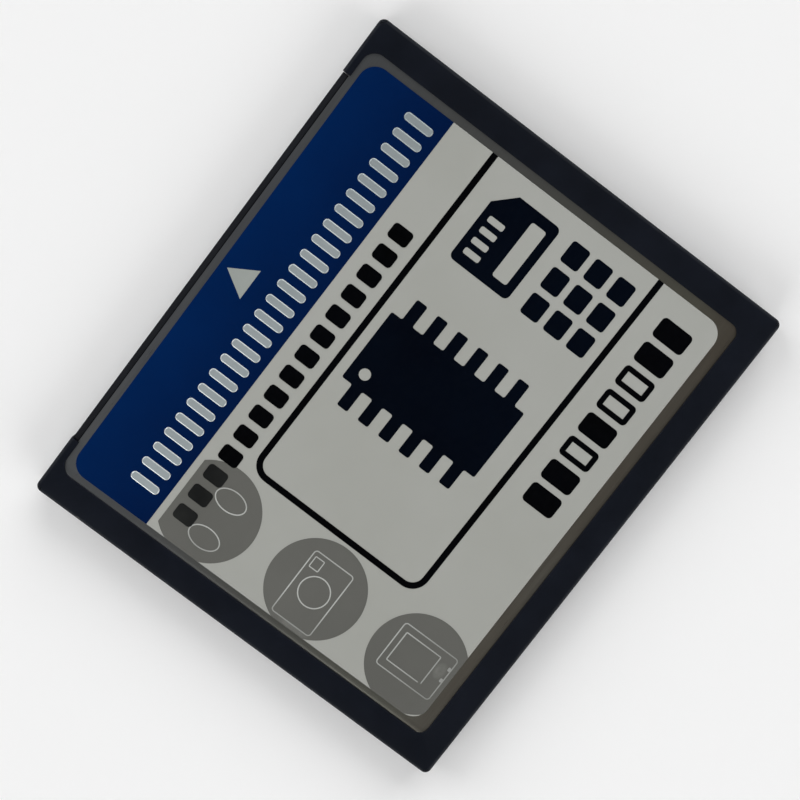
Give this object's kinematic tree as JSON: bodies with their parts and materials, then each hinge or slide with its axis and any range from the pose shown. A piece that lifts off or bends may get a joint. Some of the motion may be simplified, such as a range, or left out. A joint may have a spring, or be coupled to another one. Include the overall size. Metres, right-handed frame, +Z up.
{
  "type": "solid-state memory card",
  "caption": "Flat removable memory card: black moulded frame with steel covers and a printed label, keyed guide grooves in both sides and a two-row pin socket along one edge.",
  "frame": {"origin": "middle of the underside, at the height of the surface the card lies on", "axes": "+X across the card between the grooved sides, +Y towards the socket edge that goes into the host, +Z up from the underside to the label"},
  "size_m": [0.0428, 0.0364, 0.0033],
  "materials": {
    "frame_plastic": "moulded, fine spark texture",
    "socket_plastic": "moulded, plain",
    "cover_steel": "rolled stainless sheet",
    "label_film": "printed film, satin",
    "contact_metal": "plated",
    "board_laminate": "solder resist over laminate",
    "package_resin": "moulded resin",
    "lead_metal": "tinned",
    "capacitor_ceramic": "fired ceramic",
    "resistor_ceramic": "glazed film on ceramic",
    "insulator_film": "thin amber film"
  },
  "bodies": {
    "root": {"upper_frame": "frame_plastic", "lower_frame": "frame_plastic", "upper_cover": "cover_steel", "lower_cover": "cover_steel", "front_label": "label_film", "connector_housing": "socket_plastic", "upper_contacts": "contact_metal", "lower_contacts": "contact_metal", "circuit_board": "board_laminate", "upper_flash_body": "package_resin", "lower_flash_body": "package_resin", "controller_body": "package_resin", "upper_flash_leads": "lead_metal", "lower_flash_leads": "lead_metal", "controller_leads": "lead_metal", "upper_insulator": "insulator_film", "lower_insulator": "insulator_film", "capacitor_1": "capacitor_ceramic", "capacitor_2": "capacitor_ceramic", "capacitor_3": "capacitor_ceramic", "capacitor_4": "capacitor_ceramic", "capacitor_5": "capacitor_ceramic", "capacitor_6": "capacitor_ceramic", "capacitor_7": "capacitor_ceramic", "capacitor_8": "capacitor_ceramic", "resistor_1": "resistor_ceramic", "resistor_2": "resistor_ceramic", "resistor_3": "resistor_ceramic", "resistor_4": "resistor_ceramic", "resistor_5": "resistor_ceramic", "resistor_6": "resistor_ceramic"}
  },
  "joints": []
}
